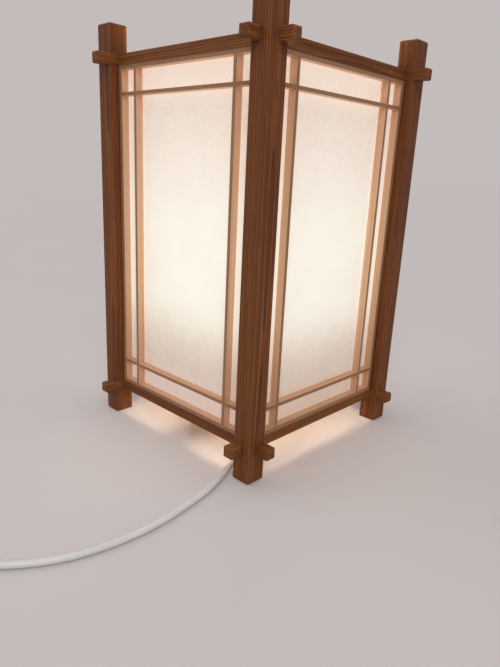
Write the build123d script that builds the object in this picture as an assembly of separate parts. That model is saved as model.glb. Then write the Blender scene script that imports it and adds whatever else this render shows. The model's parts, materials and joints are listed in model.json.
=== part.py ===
from build123d import *
from math import asin, cos, pi, radians, sin, tan
import os

# A paper floor lantern (andon). Millimetres, +Z up. The origin is on the floor at the centre of the
# footprint. The front is -Y and the right side is +X.

# Posts and rails
frame_width = 285.0  # across the posts' outer faces, both ways
post_side = 25.0
post_height = 500.0
post_arris = 1.0
post_end_chamfer = 1.8
rail_side = 13.0
rail_setback = 12.0  # from a post's outer face in to a rail's outer face
rail_overhang = 17.0  # how far a rail's end stands out past the posts
rail_clearance = 33.0  # floor to bottom rail, and top rail to post top
rail_arris = 0.5
rail_end_chamfer = 2.0

# Shoji panels, one in each side
panel_recess = 0.7  # behind the rails' outer faces
panel_depth = 10.0
stile_width = 5.0
panel_rail_height = 4.5
border_gap = 25.5  # clear width between the frame and the lattice strips
kumiko_width = 4.0
bridle_thickness = 3.0  # frame corner joints
kumiko_tenon_length = 2.0
kumiko_tenon_thickness = 3.0
paper_thickness = 0.4
paper_margin = 1.0  # from the frame's outer edge in to the paper's edge

# Cross bar and riser block
bar_thickness = 13.0
bar_tongue_length = 7.0
bar_tongue_thickness = 6.0
block_margin = 0.5  # round the lamp holder's flange
block_height = 48.0
block_chamfer = 1.5
lead_bore = 10.0  # diameter of the lead's way through the block
lead_outlet_height = 12.0  # above the bar
wood_screw_length = 11.0
wood_screw_head = 5.6
wood_screw_shank = 2.8
wood_screw_spacing = 22.0

# Lamp holder
holder_flange_margin = 1.05  # outside the screw heads
holder_flange_thickness = 5.0
holder_flange_edge = 1.0
holder_boss_margin = 1.6  # outside the sleeve
holder_boss_height = 7.0
holder_shell_gap = 0.1
holder_shell_wall = 1.8
holder_lip_rise = 7.0  # above the bulb's cap
holder_lip_depth = 4.0
holder_lip_bevel = 2.0
holder_lip_slope = 1.0  # under the lip
holder_mouth_clearance = 0.8
holder_lead_hole = 7.0
holder_screw_gap = 0.15  # from the shell to a screw's head
holder_screw_head = 3.9
holder_screw_head_top = 2.34
holder_screw_head_height = 0.98
holder_screw_shank = 2.4
holder_screw_length = 14.0
sleeve_wall = 0.6
sleeve_setback = 1.0  # below the top of the bulb's cap
contact_height = 10.0
contact_strip = 0.8
contact_width = 7.0
contact_slope = 4.5  # from the lead's hole out to the foot of the leaf
contact_foot_gap = 1.0

# LED bulb
cap_radius = 13.0
cap_clearance = 0.3
cap_tip_radius = 4.5
cap_tip_height = 1.5
cap_cone_height = 4.5
cap_shoulder = 2.0
cap_height = 27.0
housing_neck_radius = 13.6
housing_neck_show = 1.0  # straight neck above the lamp holder's lip
housing_height = 45.0
housing_root_swell = 0.4
housing_root_drop = 4.0
housing_rim_lean = 3.0
housing_rim_drop = 14.0
dome_radius = 30.0
dome_wall = 1.6
bulb_height = 112.0

# Cord
cord_diameter = 7.0
relief_shank_length = 8.0
relief_flange_radius = 8.0
relief_flange_thickness = 2.0
relief_root_radius = 6.5
relief_tip_radius = 4.2

# In-line switch, on the cord's line
switch_body_length = 62.0
switch_width = 27.0
switch_height = 19.0
switch_corner = 7.0
switch_collar_length = 14.0
switch_collar_root = 7.0
switch_collar_tip = 4.6
switch_edge = 2.5
rocker_length = 21.6
rocker_width = 10.0
rocker_gap = 0.4
rocker_end_gap = 1.0
rocker_skirt = 1.0  # how far its round ends go on below the pivot
rocker_pivot_height = 15.0
rocker_pin_radius = 1.4
rocker_pin_length = 1.8
rocker_pin_gap = 0.05
rocker_tilt = 8.0  # degrees each way
rocker_crown = 4.6  # ridge above the pivot
rocker_valley = 3.6  # middle of the rocker above the pivot
rocker_depth = 3.5  # underside below the pivot
switch_well = 2.5  # the chamber under the rocker, in the lower shell

# Plug
plug_length = 30.0
plug_width = 25.0
plug_height = 19.0
plug_edge = 3.0
plug_end_edge = 1.0
plug_relief_length = 24.0
plug_relief_root = 6.5
plug_relief_tip = 4.2
blade_pitch = 12.7
blade_width = 6.3
blade_thickness = 1.5
blade_length = 17.0
blade_root = 4.0

# Coil of spare cord
coil_turn_radius = 41.0
coil_width_turns = 3
coil_layers = 2
coil_corner = 2.5
coil_tail_length = 42.0  # from the ring's tangent point to the plug's sleeve

# The cord's route from the strain relief to the switch, and from the switch to the coil
lamp_route = [
    (46, 0, 58),
    (66, 0, 58),
    (84, -7, 55),
    (99, -23, 47),
    (105, -48, 36),
    (103, -78, 24),
    (101, -108, 13),
    (105.7, -137.6, 6),
    (121.6, -178.6, 3.5),
    (129.9, -220.3, 3.5),
    (135.8, -263.5, 3.5),
    (132.5, -312.2, 3.5),
    (120.1, -357.4, 3.5),
    (90.8, -400.5, 3.5),
    (74, -418, 9.5),
    (58, -430, 9.5),
]
plug_route = [
    (-14, -484, 9.5),
    (-28, -494.5, 9.5),
    (-48, -503, 5),
    (-68, -505.2, 3.5),
    (-88, -505.2, 3.5),
]
coil_centre = (-88.0, -457.1)
plug_heading = 90.0  # degrees in plan, from the coil

# Where things lie, from the sizes above
outer = frame_width / 2
post_inner = outer - post_side
rail_outer = outer - rail_setback
rail_inner = rail_outer - rail_side
rail_reach = outer + rail_overhang
low_rail_top = rail_clearance + rail_side
high_rail_bottom = post_height - rail_clearance - rail_side
panel_front = rail_outer - panel_recess
panel_back = panel_front - panel_depth
panel_middle = (panel_front + panel_back) / 2
frame_inner = post_inner - stile_width
sash_bottom = low_rail_top + panel_rail_height
sash_top = high_rail_bottom - panel_rail_height
strip_outer = frame_inner - border_gap
strip_inner = strip_outer - kumiko_width
low_strip = sash_bottom + border_gap
high_strip = sash_top - border_gap - kumiko_width
bar_bottom = low_rail_top - bar_thickness
block_top = low_rail_top + block_height
flange_top = block_top + holder_flange_thickness
boss_top = flange_top + holder_boss_height
tip_level = boss_top + contact_height
cap_top = tip_level + cap_height
lip_top = cap_top + holder_lip_rise
neck_top = lip_top + housing_neck_show
housing_top = cap_top + housing_height
dome_centre = tip_level + bulb_height - dome_radius
sleeve_inner = cap_radius + cap_clearance
sleeve_outer = sleeve_inner + sleeve_wall
sleeve_height = cap_top - sleeve_setback - boss_top
boss_radius = sleeve_outer + holder_boss_margin
shell_inner = boss_radius + holder_shell_gap
shell_outer = shell_inner + holder_shell_wall
mouth_radius = housing_neck_radius + holder_mouth_clearance
screw_circle = shell_outer + holder_screw_gap + holder_screw_head / 2
flange_radius = screw_circle + holder_screw_head / 2 + holder_flange_margin
block_side = 2 * (flange_radius + block_margin)
bar_width = block_side
outlet_level = low_rail_top + lead_outlet_height
cord_radius = cord_diameter / 2


def span(x0, x1, y0, y1, z0, z1):
    """A box between two corners."""
    size = Box(abs(x1 - x0), abs(y1 - y0), abs(z1 - z0))
    return Pos((x0 + x1) / 2, (y0 + y1) / 2, (z0 + z1) / 2) * size


def turned(shape, quarters):
    """The front's piece, carried round to another side of the lantern."""
    return Rot(0, 0, 90 * quarters) * shape


def lathe(*points):
    """A solid of revolution about Z, from the points (radius, height) of half its section."""
    outline = Polyline(*[(r, 0, z) for r, z in points], close=True)
    return revolve(make_face(outline), Axis.Z)


def write(name, *solids):
    """One STEP file for a node, which may be a group of separate solids."""
    shape = solids[0] if len(solids) == 1 else Compound(children=list(solids))
    export_step(shape, f"parts/{name}.step")


def eased(stick, along, end_chamfer, arris):
    """A stick with chamfered ends and eased long edges."""
    stick = chamfer(stick.faces().filter_by(along).edges(), end_chamfer)
    return chamfer(stick.edges().filter_by(along), arris)


def lap_cut(level, upper):
    """What a front rail loses, at each end, to the side rails that cross it at the same level."""
    low = level + rail_side / 2 if upper else level
    high = low + rail_side / 2
    return [
        span(side * rail_inner, side * rail_outer, -rail_outer, -rail_inner, low, high) for side in (-1, 1)
    ]


def tongue(end):
    """The bar's tongue, and the housing that it fills in a bottom rail. end is -1 at the front."""
    edge = end * rail_inner
    tip = end * (rail_inner + bar_tongue_length)
    return span(-bar_width / 2, bar_width / 2, edge, tip, low_rail_top - bar_tongue_thickness, low_rail_top)


def wood_screw(x, y):
    """A countersunk screw, its head flush with the bar's top face."""
    head = wood_screw_head / 2
    shank = wood_screw_shank / 2
    cone = head - shank
    screw = lathe(
        (0, 0), (head, 0), (shank, -cone), (shank, shank - wood_screw_length), (0, -wood_screw_length)
    )
    return Pos(x, y, low_rail_top) * screw


def bar_screw_places():
    """Two screws through each tongue."""
    reach = rail_inner + bar_tongue_length / 2
    return [(x * wood_screw_spacing / 2, y * reach) for x in (-1, 1) for y in (-1, 1)]


def front_rail(level, laps_over, carries_bar):
    """The front rail at a level. laps_over says that it keeps its upper half where it crosses."""
    stick = span(-rail_reach, rail_reach, -rail_outer, -rail_inner, level, level + rail_side)
    rail = eased(stick, Axis.X, rail_end_chamfer, rail_arris)
    rail -= lap_cut(level, upper=not laps_over)
    if carries_bar:
        rail -= tongue(-1)
        rail -= [wood_screw(x, y) for x, y in bar_screw_places() if y < 0]
    return rail


def make_posts_and_rails():
    """Each post is notched on its two inner faces, where two rails cross each other in a half lap."""
    stick = span(post_inner, outer, -outer, -post_inner, 0, post_height)
    post = eased(stick, Axis.Z, post_end_chamfer, post_arris)
    for level in (rail_clearance, high_rail_bottom):
        top = level + rail_side
        post -= span(post_inner, outer, -rail_outer, -rail_inner, level, top)
        post -= span(rail_inner, rail_outer, -outer, -post_inner, level, top)
    corners = ("front_right", "back_right", "back_left", "front_left")
    for quarters, name in enumerate(corners):
        write(f"post_{name}", turned(post, quarters))
    for height, level in (("bottom", rail_clearance), ("top", high_rail_bottom)):
        for quarters, side in enumerate(("front", "right", "back", "left")):
            faces_bar = quarters % 2 == 0
            rail = front_rail(level, faces_bar, faces_bar and height == "bottom")
            write(f"rail_{height}_{side}", turned(rail, quarters))


def across(x0, x1, z0, z1, thickness=panel_depth):
    """A front panel's stick between two corners of its elevation, centred in the panel's depth."""
    half = thickness / 2
    return span(x0, x1, -panel_middle - half, -panel_middle + half, z0, z1)


def kumiko_tenons(upright):
    """The stub tenons at the lattice strips' ends, as solids for the strips and their mortises."""
    reach = kumiko_tenon_length
    found = []
    for side in (-1, 1):
        near = side * strip_inner
        far = side * strip_outer
        if upright:
            ends = ((near, far, sash_bottom - reach, sash_bottom), (near, far, sash_top, sash_top + reach))
        else:
            level = low_strip if side < 0 else high_strip
            ends = (
                (-frame_inner - reach, -frame_inner, level, level + kumiko_width),
                (frame_inner, frame_inner + reach, level, level + kumiko_width),
            )
        found += [across(*end, kumiko_tenon_thickness) for end in ends]
    return found


def kumiko_crossings(back_half):
    """Half the panel's depth, wherever an upright strip and a cross strip meet."""
    y0, y1 = (-panel_middle, -panel_back) if back_half else (-panel_front, -panel_middle)
    cells = []
    for side in (-1, 1):
        for level in (low_strip, high_strip):
            cells.append(span(side * strip_inner, side * strip_outer, y0, y1, level, level + kumiko_width))
    return cells


def make_panel(side, quarters):
    """One shoji panel: a bridled frame, half-lapped lattice strips flush with it, and its paper."""
    pins = [
        across(x0, x1, z0, z1, bridle_thickness)
        for x0, x1 in ((-post_inner, -frame_inner), (frame_inner, post_inner))
        for z0, z1 in ((low_rail_top, sash_bottom), (sash_top, high_rail_bottom))
    ]
    stile = across(frame_inner, post_inner, low_rail_top, high_rail_bottom)
    stiles = {"right": stile, "left": stile.mirror(Plane.YZ)}
    for hand, piece in stiles.items():
        piece -= pins
        piece -= kumiko_tenons(upright=False)
        write(f"{side}_panel_{hand}_stile", turned(piece, quarters))
    for height, z0, z1 in (("bottom", low_rail_top, sash_bottom), ("top", sash_top, high_rail_bottom)):
        rail = across(-frame_inner, frame_inner, z0, z1)
        rail += [pin for pin in pins if z0 < pin.center().Z < z1]
        rail -= kumiko_tenons(upright=True)
        write(f"{side}_panel_{height}_rail", turned(rail, quarters))
    uprights = []
    for x0, x1 in ((-strip_outer, -strip_inner), (strip_inner, strip_outer)):
        strip = across(x0, x1, sash_bottom, sash_top)
        strip += [t for t in kumiko_tenons(upright=True) if x0 < t.center().X < x1]
        strip -= kumiko_crossings(back_half=False)
        uprights.append(turned(strip, quarters))
    write(f"{side}_panel_kumiko_uprights", *uprights)
    crossbars = []
    for level in (low_strip, high_strip):
        strip = across(-frame_inner, frame_inner, level, level + kumiko_width)
        strip += [t for t in kumiko_tenons(upright=False) if level < t.center().Z < level + kumiko_width]
        strip -= kumiko_crossings(back_half=True)
        crossbars.append(turned(strip, quarters))
    write(f"{side}_panel_kumiko_crossbars", *crossbars)
    edge = post_inner - paper_margin
    paper = span(
        -edge, edge, -panel_back, -panel_back + paper_thickness,
        low_rail_top + paper_margin, high_rail_bottom - paper_margin,
    )
    write(f"{side}_panel_paper", turned(paper, quarters))


def make_bulb_support():
    """The cross bar in its housings, the riser block glued on it, and the lead's way out."""
    half = bar_width / 2
    bar = span(-half, half, -rail_inner, rail_inner, bar_bottom, low_rail_top)
    bar += [tongue(-1), tongue(1)]
    screws = [wood_screw(x, y) for x, y in bar_screw_places()]
    write("cross_bar", bar - screws)
    write("cross_bar_screws", *screws)
    half = block_side / 2
    block = span(-half, half, -half, half, low_rail_top, block_top)
    block = chamfer(block.edges().filter_by(Axis.Z), block_chamfer)
    well = Pos(0, 0, (outlet_level + block_top) / 2) * Cylinder(lead_bore / 2, block_top - outlet_level)
    outlet = Pos(half / 2, 0, outlet_level) * Rot(0, 90, 0) * Cylinder(lead_bore / 2, half)
    block -= [well, outlet]
    block -= [holder_screw(x) for x in (-1, 1)]
    write("riser_block", block)


def holder_screw(side):
    """One of the two pan-head screws that hold the lamp holder's base."""
    head = holder_screw_head / 2
    top = holder_screw_head_top / 2
    height = holder_screw_head_height
    shank = holder_screw_shank / 2
    screw = lathe(
        (0, height), (top, height), (head, height / 2), (head, 0),
        (shank, 0), (shank, shank - holder_screw_length), (0, -holder_screw_length),
    )
    return Pos(0, side * screw_circle, flange_top) * screw


def make_holder():
    """The lamp holder: a flanged base, its shell, the brass sleeve and the centre contact."""
    screws = [holder_screw(side) for side in (-1, 1)]
    base = lathe(
        (0, block_top), (flange_radius, block_top), (flange_radius, flange_top - holder_flange_edge),
        (flange_radius - holder_flange_edge, flange_top),
        (boss_radius, flange_top), (boss_radius, boss_top), (0, boss_top),
    )
    hole = Cylinder(holder_lead_hole / 2, boss_top - block_top)
    base -= Pos(0, 0, (block_top + boss_top) / 2) * hole
    write("lamp_holder_base", base - screws)
    write("lamp_holder_screws", *screws)
    under_lip = lip_top - holder_lip_depth
    shell = lathe(
        (shell_inner, flange_top), (shell_outer, flange_top), (shell_outer, lip_top - holder_lip_bevel),
        (shell_outer - holder_lip_bevel, lip_top), (mouth_radius, lip_top), (mouth_radius, under_lip),
        (shell_inner, under_lip - holder_lip_slope),
    )
    write("lamp_holder_shell", shell)
    tube = Cylinder(sleeve_outer, sleeve_height) - Cylinder(sleeve_inner, sleeve_height)
    write("lamp_holder_sleeve", Pos(0, 0, boss_top + sleeve_height / 2) * tube)
    write("lamp_holder_contact", contact_leaf())


def contact_leaf():
    """The centre contact: a bent strip that stands on the boss and meets the cap's tip."""
    pad = cap_tip_radius
    foot = sleeve_inner - contact_foot_gap
    knee = holder_lead_hole / 2 + contact_slope
    strip = contact_strip
    outline = Polyline(
        (-pad, tip_level), (pad, tip_level), (knee, boss_top + strip), (foot, boss_top + strip),
        (foot, boss_top), (knee - strip / 2, boss_top), (pad - strip / 2, tip_level - strip),
        (-pad, tip_level - strip), close=True,
    )
    return extrude(Plane.XZ * make_face(outline), contact_width / 2, both=True)


def dome_arc(radius):
    """Half the dome's outline at a radius, from the housing's top to the crown, and its first point."""
    rise = asin((housing_top - dome_centre) / radius)
    middle = (rise + pi / 2) / 2
    rim = (radius * cos(rise), 0, housing_top)
    halfway = (radius * cos(middle), 0, dome_centre + radius * sin(middle))
    return ThreePointArc(rim, halfway, (0, 0, dome_centre + radius)), rim


def make_bulb():
    """The LED bulb, standing on the centre contact: screw cap, flared housing and diffuser dome."""
    cone = tip_level + cap_tip_height
    cap = lathe(
        (0, tip_level), (cap_tip_radius, tip_level), (cap_tip_radius, cone),
        (cap_radius - cap_shoulder, cone + cap_cone_height), (cap_radius, cone + cap_cone_height),
        (cap_radius, cap_top), (0, cap_top),
    )
    write("bulb_cap", cap)
    outside, rim = dome_arc(dome_radius)
    inside, inner_rim = dome_arc(dome_radius - dome_wall)
    neck = housing_neck_radius
    flank = Bezier(
        (neck, 0, neck_top),
        (neck + housing_root_swell, 0, (neck_top + housing_top) / 2 - housing_root_drop),
        (rim[0] - housing_rim_lean, 0, housing_top - housing_rim_drop),
        rim,
    )
    rest = Polyline(rim, (0, 0, housing_top), (0, 0, cap_top), (neck, 0, cap_top), (neck, 0, neck_top))
    write("bulb_housing", revolve(make_face(flank + rest), Axis.Z))
    crown = dome_centre + dome_radius
    ends = [Line(rim, inner_rim), Line((0, 0, crown), (0, 0, crown - dome_wall))]
    write("bulb_diffuser", revolve(make_face([outside, inside, *ends]), Axis.Z))


def make_strain_relief():
    """A tapered sleeve in the riser block's outlet, whose end face meets the cord."""
    face = block_side / 2
    tip = lamp_route[0][0] - face
    relief = lathe(
        (0, -relief_shank_length), (lead_bore / 2, -relief_shank_length), (lead_bore / 2, 0),
        (relief_flange_radius, 0), (relief_flange_radius, relief_flange_thickness),
        (relief_root_radius, relief_flange_thickness),
        (relief_tip_radius, tip), (0, tip),
    )
    write("cord_strain_relief", Pos(face, 0, outlet_level) * Rot(0, 90, 0) * relief)


def cord_tube(name, points):
    """A round cord along a route of straight runs joined by tangent arcs."""
    corners = [Vector(*p) for p in points]
    radii = []
    for before, here, after in zip(corners, corners[1:], corners[2:]):
        arrive = here - before
        leave = after - here
        half_turn = radians(arrive.get_angle(leave)) / 2
        radii.append(0.45 * min(arrive.length, leave.length) / tan(half_turn))
    path = FilletPolyline(*corners, radius=radii)
    section = Plane(origin=corners[0], z_dir=corners[1] - corners[0]) * Circle(cord_radius)
    tube = sweep(section, path=path)
    print(name, "radii", [round(r) for r in radii])
    plain = pi * cord_radius**2 * path.length
    print(name, "volume over section times length", round(tube.volume / plain, 4))
    write(name, tube)
    return path.length


def heading_of(points):
    """The direction in plan of a route's last run, in degrees."""
    last = Vector(*points[-1]) - Vector(*points[-2])
    return Vector(1, 0, 0).get_signed_angle(last, Vector(0, 0, 1))


def switch_frame():
    """The switch's own frame: +X along the cord, origin on the floor under the first collar's end."""
    x, y, _ = lamp_route[-1]
    return Location((x, y, 0), (0, 0, heading_of(lamp_route)))


def rocker_solid():
    """The rocker about its pivot: two facets meeting in a valley, with ends round the pivot."""
    reach = rocker_length / 2
    low = -rocker_depth
    foot = rocker_length / 4
    end_low = (reach**2 - rocker_skirt**2) ** 0.5
    end_high = (reach**2 - rocker_crown**2) ** 0.5
    lines = [
        Line((-foot, 0, low), (foot, 0, low)),
        Line((foot, 0, low), (end_low, 0, -rocker_skirt)),
        ThreePointArc((end_low, 0, -rocker_skirt), (reach, 0, 0), (end_high, 0, rocker_crown)),
        Line((end_high, 0, rocker_crown), (0, 0, rocker_valley)),
        Line((0, 0, rocker_valley), (-end_high, 0, rocker_crown)),
        ThreePointArc((-end_high, 0, rocker_crown), (-reach, 0, 0), (-end_low, 0, -rocker_skirt)),
        Line((-end_low, 0, -rocker_skirt), (-foot, 0, low)),
    ]
    return extrude(make_face(lines), rocker_width / 2, both=True)


def make_switch():
    """The in-line switch: two shells split at the cord's level, and a rocker on two stub pins."""
    place = switch_frame()
    split = lamp_route[-1][2]
    middle = switch_collar_length + switch_body_length / 2
    body = extrude(RectangleRounded(switch_body_length, switch_width, switch_corner), switch_height)
    caps = body.faces().filter_by(Axis.Z).edges()
    body = Pos(middle, 0, 0) * fillet(caps, switch_edge)
    collars = []
    for end in (0, 1):
        cone = Cone(switch_collar_root, switch_collar_tip, switch_collar_length)
        reach = switch_collar_length / 2
        x = 2 * middle - reach if end else reach
        collars.append(Pos(x, 0, split) * Rot(0, 90 if end else -90, 0) * cone)
    body += collars
    slot = rocker_length / 2 + rocker_end_gap
    cheek = rocker_width / 2 + rocker_gap
    body -= span(middle - slot, middle + slot, -cheek, cheek, split - switch_well, switch_height + 1)
    pin_reach = 2 * (rocker_width / 2 + rocker_pin_length)
    at_pivot = Pos(middle, 0, rocker_pivot_height)
    bore_reach = pin_reach + 2 * rocker_gap
    body -= at_pivot * Rot(90, 0, 0) * Cylinder(rocker_pin_radius + rocker_pin_gap, bore_reach)
    far = 2 * middle
    below = span(-1, far + 1, -switch_width, switch_width, -1, split)
    above = span(-1, far + 1, -switch_width, switch_width, split, switch_height + 1)
    write("switch_lower_shell", place * (body & below))
    write("switch_upper_shell", place * (body & above))
    rocker = rocker_solid() + Rot(90, 0, 0) * Cylinder(rocker_pin_radius, pin_reach)
    rocker = at_pivot * Rot(0, rocker_tilt, 0) * rocker
    write("switch_rocker", place * rocker)
    pivot = place * Pos(middle, 0, rocker_pivot_height)
    print("rocker pivot", pivot.position, "heading", heading_of(lamp_route))
    far_end = place * Pos(far, 0, split)
    print("switch far end", far_end.position, "second route starts", plug_route[0])


def make_coil_and_plug():
    """The spare cord's outer shape, and the plug that its last turn leads into."""
    width = coil_width_turns * cord_diameter
    height = coil_layers * cord_diameter
    face = Plane.XZ * Pos(coil_turn_radius, height / 2) * RectangleRounded(width, height, coil_corner)
    place = Location((*coil_centre, 0), (0, 0, plug_heading))
    level = plug_height / 2
    tail = Rot(0, 90, 0) * Cylinder(cord_radius, coil_tail_length)
    tail = Pos(coil_tail_length / 2, coil_turn_radius, level) * tail
    write("cord_coil", place * (revolve(face, Axis.Z) + tail))
    start = plug_relief_length
    body = Pos(start + plug_length / 2, 0, level) * Box(plug_length, plug_width, plug_height)
    body = fillet(body.edges().filter_by(Axis.X), plug_edge)
    body = fillet(body.faces().sort_by(Axis.X)[-1].edges(), plug_end_edge)
    cone = Pos(start / 2, 0, level) * Rot(0, -90, 0) * Cone(
        plug_relief_root, plug_relief_tip, plug_relief_length
    )
    blades = []
    face = start + plug_length
    for side in (-1, 1):
        y = side * blade_pitch / 2
        half = blade_thickness / 2
        blade = span(
            face - blade_root, face + blade_length, y - half, y + half,
            level - blade_width / 2, level + blade_width / 2,
        )
        blades.append(blade)
    place *= Pos(coil_tail_length, coil_turn_radius, 0)
    write("plug_body", place * (body + cone - blades))
    write("plug_blades", *[place * blade for blade in blades])


os.makedirs("parts", exist_ok=True)
make_posts_and_rails()
for number, name in enumerate(("front", "right", "back", "left")):
    make_panel(name, number)
make_bulb_support()
make_holder()
make_bulb()
make_strain_relief()
length = cord_tube("cord_to_switch", lamp_route)
length += cord_tube("cord_to_plug", plug_route)
print("cord outside the coil", round(length), "mm")
make_switch()
make_coil_and_plug()
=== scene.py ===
import json
import math

import bmesh
import bpy
from mathutils import Matrix, Vector

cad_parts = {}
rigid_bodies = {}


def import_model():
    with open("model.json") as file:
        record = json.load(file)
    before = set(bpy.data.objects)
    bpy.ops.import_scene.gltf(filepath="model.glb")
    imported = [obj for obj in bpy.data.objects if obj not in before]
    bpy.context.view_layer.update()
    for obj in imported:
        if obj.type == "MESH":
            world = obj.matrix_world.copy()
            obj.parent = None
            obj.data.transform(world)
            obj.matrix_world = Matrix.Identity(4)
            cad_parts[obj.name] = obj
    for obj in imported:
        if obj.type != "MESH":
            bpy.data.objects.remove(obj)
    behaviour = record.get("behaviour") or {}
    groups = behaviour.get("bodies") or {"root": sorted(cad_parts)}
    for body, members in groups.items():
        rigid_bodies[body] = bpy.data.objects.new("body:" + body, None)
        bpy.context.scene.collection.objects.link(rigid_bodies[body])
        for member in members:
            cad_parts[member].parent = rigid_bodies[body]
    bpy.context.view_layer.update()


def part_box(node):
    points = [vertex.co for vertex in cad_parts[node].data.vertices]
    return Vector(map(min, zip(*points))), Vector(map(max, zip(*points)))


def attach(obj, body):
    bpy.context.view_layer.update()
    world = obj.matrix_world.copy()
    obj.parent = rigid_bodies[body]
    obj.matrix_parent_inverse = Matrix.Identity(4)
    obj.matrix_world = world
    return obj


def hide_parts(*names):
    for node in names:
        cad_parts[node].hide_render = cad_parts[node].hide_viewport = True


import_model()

sides = ("front", "right", "back", "left")
panelFrame = ("right_stile", "left_stile", "bottom_rail", "top_rail")
print("frame loaded")


# small helpers for node trees and meshes

def addNode(tree, kind, settings=None, **inputs):
    node = tree.nodes.new(kind)
    for name, value in (settings or {}).items():
        setattr(node, name, value)
    for name, value in inputs.items():
        socket = node.inputs[int(name[1:])] if name[0] == "i" and name[1:].isdigit() else node.inputs[name]
        if isinstance(value, bpy.types.NodeSocket):
            tree.links.new(value, socket)
        else:
            socket.default_value = value
    return node


def math2(tree, operation, first, second=0.0, third=0.0):
    return addNode(
        tree, "ShaderNodeMath", {"operation": operation}, i0=first, i1=second, i2=third
    ).outputs[0]


def smoothRange(tree, value, low, high, out0=0.0, out1=1.0):
    node = addNode(tree, "ShaderNodeMapRange", {"interpolation_type": "SMOOTHSTEP"}, i0=value)
    for index, number in ((1, low), (2, high), (3, out0), (4, out1)):
        if isinstance(number, bpy.types.NodeSocket):
            tree.links.new(number, node.inputs[index])
        else:
            node.inputs[index].default_value = number
    return node.outputs[0]


def vector2(tree, operation, first, second):
    return addNode(tree, "ShaderNodeVectorMath", {"operation": operation}, i0=first, i1=second).outputs[0]


def scaled(tree, vector, factors):
    return vector2(tree, "MULTIPLY", vector, factors)


def dimmed(tree, vector, strength):
    node = addNode(tree, "ShaderNodeVectorMath", {"operation": "SCALE"}, i0=vector)
    tree.links.new(strength, node.inputs["Scale"])
    return node.outputs[0]


def mixed(tree, share, first, second, blend="MIX"):
    # a colour that is linked, blended with a fixed one
    node = addNode(tree, "ShaderNodeMix", {"data_type": "RGBA", "blend_type": blend}, i0=share)
    tree.links.new(first, node.inputs[6])
    node.inputs[7].default_value = (*second, 1)
    return node.outputs[2]


def noise(tree, vector, detail=2.0, roughness=0.5, offset=None):
    if offset:
        vector = vector2(tree, "ADD", vector, offset)
    node = addNode(tree, "ShaderNodeTexNoise", Vector=vector, Scale=1.0, Detail=detail, Roughness=roughness)
    return node.outputs["Fac"]


def newGroup(name, inputs, outputs):
    tree = bpy.data.node_groups.new(name, "ShaderNodeTree")
    for label, value in inputs:
        kind = "NodeSocketVector" if value is None else "NodeSocketFloat"
        socket = tree.interface.new_socket(label, in_out="INPUT", socket_type=kind)
        if value is not None:
            socket.default_value = value
    for label in outputs:
        tree.interface.new_socket(label, in_out="OUTPUT", socket_type="NodeSocketFloat")
    return tree, tree.nodes.new("NodeGroupInput").outputs, tree.nodes.new("NodeGroupOutput").inputs


def placeGroup(tree, group, **inputs):
    node = tree.nodes.new("ShaderNodeGroup")
    node.node_tree = group
    for name, value in inputs.items():
        socket = node.inputs[name.replace("_", " ")]
        if isinstance(value, bpy.types.NodeSocket):
            tree.links.new(value, socket)
        else:
            socket.default_value = value
    return node.outputs


def ramp(tree, value, *stops):
    node = addNode(tree, "ShaderNodeValToRGB", i0=value)
    marks = node.color_ramp.elements
    for index, (place, colour) in enumerate(stops):
        mark = marks[index] if index < 2 else marks.new(place)
        mark.position = place
        mark.color = (*colour, 1)
    return node.outputs[0]


def newMaterial(name, plain):
    # the plain finish goes straight on the shader, and its detail is linked in afterwards
    material = bpy.data.materials.new(name)
    material.use_nodes = True
    tree = material.node_tree
    shader = tree.nodes["Principled BSDF"]
    for label, value in plain.items():
        shader.inputs[label].default_value = value
    material.diffuse_color = plain.get("Base Color", (0.8, 0.8, 0.8, 1))
    return material, tree, shader


def objectPoint(tree):
    return tree.nodes.new("ShaderNodeTexCoord").outputs["Object"]


def depthOut(tree, point):
    # how far out from the lantern's middle a point lies, on whichever side it is
    split = addNode(tree, "ShaderNodeSeparateXYZ", i0=point).outputs
    return math2(tree, "MAXIMUM", math2(tree, "ABSOLUTE", split[0]), math2(tree, "ABSOLUTE", split[1]))


def addBump(tree, shader, height, distance, strength=1.0):
    bump = addNode(tree, "ShaderNodeBump", Height=height, Distance=distance, Strength=strength)
    tree.links.new(bump.outputs[0], shader.inputs["Normal"])


def linkObject(name, data):
    obj = bpy.data.objects.new(name, data)
    bpy.context.scene.collection.objects.link(obj)
    return obj


def inMetres(values):
    return tuple(value / 1000 for value in values)


def setMaterial(obj, material):
    obj.data.materials.clear()
    obj.data.materials.append(material)


def meshObject(name, verts, faces):
    mesh = bpy.data.meshes.new(name)
    mesh.from_pydata(verts, [], faces)
    mesh.validate()
    work = bmesh.new()
    work.from_mesh(mesh)
    bmesh.ops.remove_doubles(work, verts=work.verts, dist=1e-7)  # in metres, so only true doubles go
    bmesh.ops.recalc_face_normals(work, faces=work.faces)
    work.to_mesh(mesh)
    work.free()
    for face in mesh.polygons:
        face.use_smooth = True
    return linkObject(name, mesh)


# camera

cameraSet = {
    "place": (0.521216, -0.550790, 0.343389),
    "turn": 43.410430,  # degrees, from +Y towards -X
    "pitch": -16.460641,
    "roll": 2.753625,
    "lens": 30.33767,
    "sensor": 36.0,  # along the view's longer side
    "clip": (0.01, 200),
}


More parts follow.
